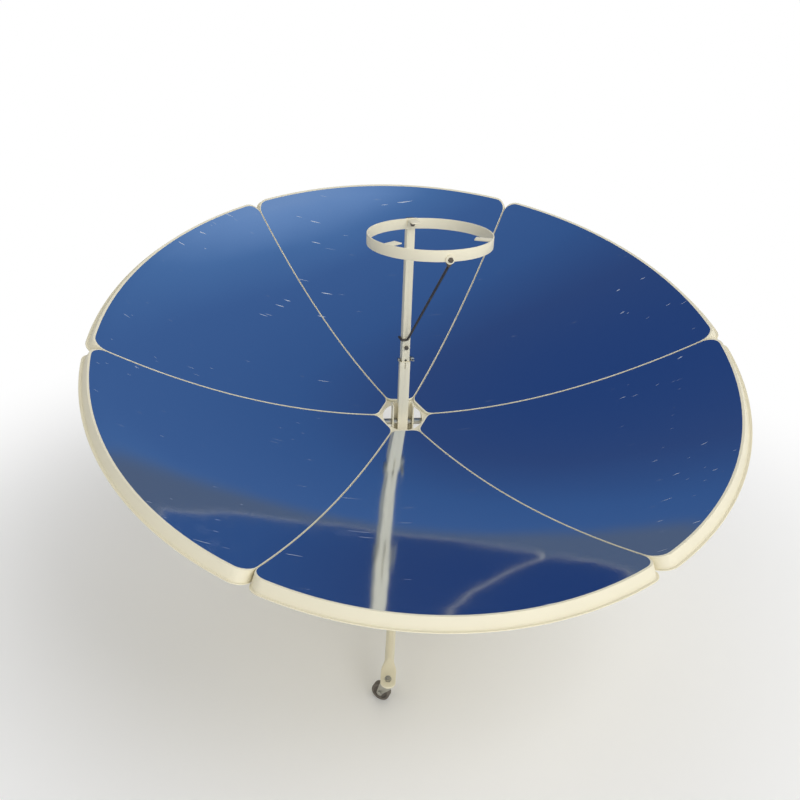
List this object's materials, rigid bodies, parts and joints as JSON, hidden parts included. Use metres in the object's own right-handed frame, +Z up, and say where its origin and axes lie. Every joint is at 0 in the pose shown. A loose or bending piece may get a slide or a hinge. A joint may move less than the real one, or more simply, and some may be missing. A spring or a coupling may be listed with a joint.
{
  "type": "concentrating solar cooker",
  "caption": "Parabolic solar cooker with a tilting petal mirror, an adjustable post carrying a pot ring, and a low base on swivel casters.",
  "frame": {"origin": "on the ground under the centre of the column", "axes": "+Z up, -Y to the front where the mirror leans, +X to the right seen from the front"},
  "size_m": [1.5386, 1.4702, 0.996],
  "materials": {
    "cream_paint": "satin",
    "mirror_film": "polished",
    "zinc_steel": "satin",
    "dark_steel": "satin",
    "black_plastic": "matte",
    "grey_rubber": "matte"
  },
  "bodies": {
    "base": {"column": "cream_paint", "column_bush": "black_plastic", "swivel_nut": "zinc_steel", "base_plate_upper": "cream_paint", "base_plate_lower": "cream_paint", "leg_1": "cream_paint", "leg_2": "cream_paint", "leg_3": "cream_paint", "leg_bolts": "zinc_steel", "caster_stems": "zinc_steel"},
    "head": {"head_fork": "cream_paint", "head_spigot": "zinc_steel", "post_lower": "cream_paint", "pivot_bolt": "zinc_steel", "pivot_spacers": "zinc_steel", "tilt_bolt": "dark_steel"},
    "dish": {"petal_1": "cream_paint", "petal_2": "cream_paint", "petal_3": "cream_paint", "petal_4": "cream_paint", "petal_5": "cream_paint", "petal_6": "cream_paint", "mirror_film_1": "mirror_film", "mirror_film_2": "mirror_film", "mirror_film_3": "mirror_film", "mirror_film_4": "mirror_film", "mirror_film_5": "mirror_film", "mirror_film_6": "mirror_film", "hub_plate": "cream_paint", "hub_nuts": "zinc_steel", "seam_bolts": "zinc_steel", "ear_left": "cream_paint", "ear_quadrant": "cream_paint", "ear_bolts": "zinc_steel"},
    "pot_stand": {"post_upper": "cream_paint", "post_cap": "black_plastic", "stop_pin": "zinc_steel", "hook_bolt": "dark_steel", "pot_ring": "cream_paint", "pot_tabs": "cream_paint", "ring_saddle": "cream_paint", "ring_bolt": "dark_steel", "brace_rod": "dark_steel", "brace_boss": "cream_paint", "brace_bolt": "dark_steel"},
    "wing_nut": {"stop_wing_nut": "zinc_steel"},
    "tilt_knob": {"tilt_knob": "black_plastic"},
    "swivel_knob": {"swivel_screw": "zinc_steel", "swivel_knob": "black_plastic"},
    "caster_1": {"caster_fork_1": "zinc_steel", "caster_axle_1": "zinc_steel"},
    "wheel_1": {"caster_wheel_1": "grey_rubber"},
    "caster_2": {"caster_fork_2": "zinc_steel", "caster_axle_2": "zinc_steel"},
    "wheel_2": {"caster_wheel_2": "grey_rubber"},
    "caster_3": {"caster_fork_3": "zinc_steel", "caster_axle_3": "zinc_steel"},
    "wheel_3": {"caster_wheel_3": "grey_rubber"}
  },
  "joints": [
    {"name": "head_swivel", "type": "hinge", "parent": "base", "child": "head", "pos_m": [0, 0, 0.322], "axis": [0, 0, 1], "continuous": true},
    {"name": "dish_tilt", "type": "hinge", "parent": "head", "child": "dish", "pos_m": [0, 0, 0.46], "axis": [1, 0, 0], "range_deg": [-17.3, 27.7]},
    {"name": "post_height", "type": "slide", "parent": "head", "child": "pot_stand", "axis": [0, 0, 1], "range_m": [0, 0.12]},
    {"name": "wing_nut_turn", "type": "hinge", "parent": "pot_stand", "child": "wing_nut", "pos_m": [0, 0, 0.6333], "axis": [0.9903, 0.1392, 0], "continuous": true},
    {"name": "tilt_knob_turn", "type": "hinge", "parent": "head", "child": "tilt_knob", "pos_m": [0.06, 0, 0.365], "axis": [1, 0, 0], "continuous": true},
    {"name": "swivel_knob_turn", "type": "hinge", "parent": "base", "child": "swivel_knob", "pos_m": [0.02298, -0.01928, 0.268], "axis": [0.766, -0.6428, 0], "continuous": true},
    {"name": "caster_1_swivel", "type": "hinge", "parent": "base", "child": "caster_1", "pos_m": [-0.08184, -0.46891, 0.047], "axis": [0, 0, 1], "continuous": true},
    {"name": "wheel_1_spin", "type": "hinge", "parent": "caster_1", "child": "wheel_1", "pos_m": [-0.09456, -0.46096, 0.021], "axis": [-0.5299, -0.848, 0], "continuous": true},
    {"name": "caster_2_swivel", "type": "hinge", "parent": "base", "child": "caster_2", "pos_m": [0.44701, 0.16358, 0.047], "axis": [0, 0, 1], "continuous": true},
    {"name": "wheel_2_spin", "type": "hinge", "parent": "caster_2", "child": "wheel_2", "pos_m": [0.43429, 0.17153, 0.021], "axis": [-0.5299, -0.848, 0], "continuous": true},
    {"name": "caster_3_swivel", "type": "hinge", "parent": "base", "child": "caster_3", "pos_m": [-0.36517, 0.30533, 0.047], "axis": [0, 0, 1], "continuous": true},
    {"name": "wheel_3_spin", "type": "hinge", "parent": "caster_3", "child": "wheel_3", "pos_m": [-0.37789, 0.31328, 0.021], "axis": [-0.5299, -0.848, 0], "continuous": true}
  ]
}
